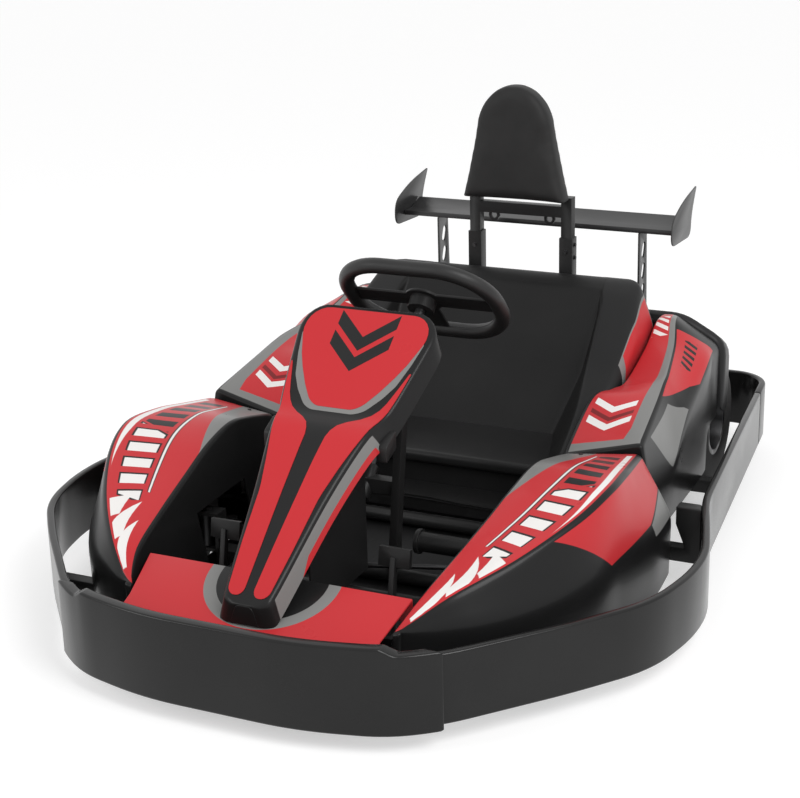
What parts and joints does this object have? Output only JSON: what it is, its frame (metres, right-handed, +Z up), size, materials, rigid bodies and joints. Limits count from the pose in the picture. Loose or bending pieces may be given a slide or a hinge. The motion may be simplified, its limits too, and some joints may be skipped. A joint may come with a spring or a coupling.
{
  "type": "racing kart",
  "caption": "Low single-seat racing kart with a closed bumper ring, red body pods, bucket seat, headrest, rear wing, steered front wheels and a live rear axle.",
  "frame": {"origin": "on the ground, below the middle of the bumper ring's length and width", "axes": "+Z up, the kart drives towards -Y, +X is its left side"},
  "size_m": [1.34, 1.74, 0.899],
  "materials": {
    "bumper_black": "satin moulded",
    "body_red": "gloss",
    "body_black": "fine grain",
    "seat_black": "fine grain",
    "cover_grey": "satin",
    "frame_black": "powder coat",
    "tray_metal": "brushed",
    "steel": "machined",
    "rim_metal": "satin",
    "tyre_rubber": "matt",
    "grip_rubber": "soft touch",
    "pad_leather": "black leatherette",
    "wing_black": "satin",
    "drive_grey": "satin"
  },
  "bodies": {
    "chassis": {"front_bumper": "bumper_black", "side_bumper_left": "bumper_black", "side_bumper_right": "bumper_black", "rear_bumper": "bumper_black", "bumper_stays": "frame_black", "frame_rails": "frame_black", "frame_cross_tubes": "frame_black", "floor_tray": "tray_metal", "nose_deck": "body_red", "front_pod_left": "body_red", "front_pod_right": "body_red", "rear_pod_left": "body_red", "rear_pod_right": "body_red", "rear_fenders": "cover_grey", "rear_deck": "body_black", "seat": "seat_black", "axle_carriers": "frame_black", "headrest_hoop": "frame_black", "headrest_frame": "frame_black", "headrest_pad": "pad_leather", "wing_posts": "wing_black", "wing_blade": "wing_black", "wing_endplates": "wing_black", "steering_fairing": "body_red", "column_support": "frame_black", "front_yokes": "frame_black", "brake_caliper": "drive_grey", "drive_motor": "drive_grey", "chain_case": "body_black", "battery_boxes": "body_black", "foot_pedals": "steel"},
    "steering": {"steering_grip": "grip_rubber", "steering_spokes": "drive_grey", "steering_column": "steel"},
    "knuckle_left": {"knuckle_left": "steel"},
    "knuckle_right": {"knuckle_right": "steel"},
    "front_wheel_left": {"front_tyre_left": "tyre_rubber", "front_rim_left": "rim_metal"},
    "front_wheel_right": {"front_tyre_right": "tyre_rubber", "front_rim_right": "rim_metal"},
    "tie_rod_left": {"tie_rod_left": "steel"},
    "tie_rod_right": {"tie_rod_right": "steel"},
    "rear_axle": {"rear_axle": "steel", "rear_tyres": "tyre_rubber", "rear_rims": "rim_metal", "brake_disc": "steel"}
  },
  "joints": [
    {"name": "steering_turn", "type": "hinge", "parent": "chassis", "child": "steering", "pos_m": [0, 0.015, 0.535], "axis": [0, 0.7071, 0.7071], "range_deg": [-40, 40]},
    {"name": "knuckle_left_steer", "type": "hinge", "parent": "chassis", "child": "knuckle_left", "pos_m": [0.318, -0.355, 0.125], "axis": [0, 0, 1], "range_deg": [-22.5, 22.5]},
    {"name": "front_wheel_left_spin", "type": "hinge", "parent": "knuckle_left", "child": "front_wheel_left", "pos_m": [0.408, -0.355, 0.125], "axis": [1, 0, 0], "continuous": true},
    {"name": "tie_rod_left_swing", "type": "hinge", "parent": "knuckle_left", "child": "tie_rod_left", "pos_m": [0.305, -0.2852, 0.11], "axis": [0, 0, 1], "range_deg": [-25, 25]},
    {"name": "knuckle_right_steer", "type": "hinge", "parent": "chassis", "child": "knuckle_right", "pos_m": [-0.318, -0.355, 0.125], "axis": [0, 0, 1], "range_deg": [-22.5, 22.5]},
    {"name": "front_wheel_right_spin", "type": "hinge", "parent": "knuckle_right", "child": "front_wheel_right", "pos_m": [-0.408, -0.355, 0.125], "axis": [1, 0, 0], "continuous": true},
    {"name": "tie_rod_right_swing", "type": "hinge", "parent": "knuckle_right", "child": "tie_rod_right", "pos_m": [-0.305, -0.2852, 0.11], "axis": [0, 0, 1], "range_deg": [-25, 25]},
    {"name": "rear_axle_spin", "type": "hinge", "parent": "chassis", "child": "rear_axle", "pos_m": [0, 0.57, 0.14], "axis": [1, 0, 0], "continuous": true}
  ],
  "couplings": [
    {"joint": "knuckle_left_steer", "follows": "steering_turn", "ratio": 0.55},
    {"joint": "tie_rod_left_swing", "follows": "steering_turn", "ratio": -0.598},
    {"joint": "knuckle_right_steer", "follows": "steering_turn", "ratio": 0.55},
    {"joint": "tie_rod_right_swing", "follows": "steering_turn", "ratio": -0.598}
  ]
}
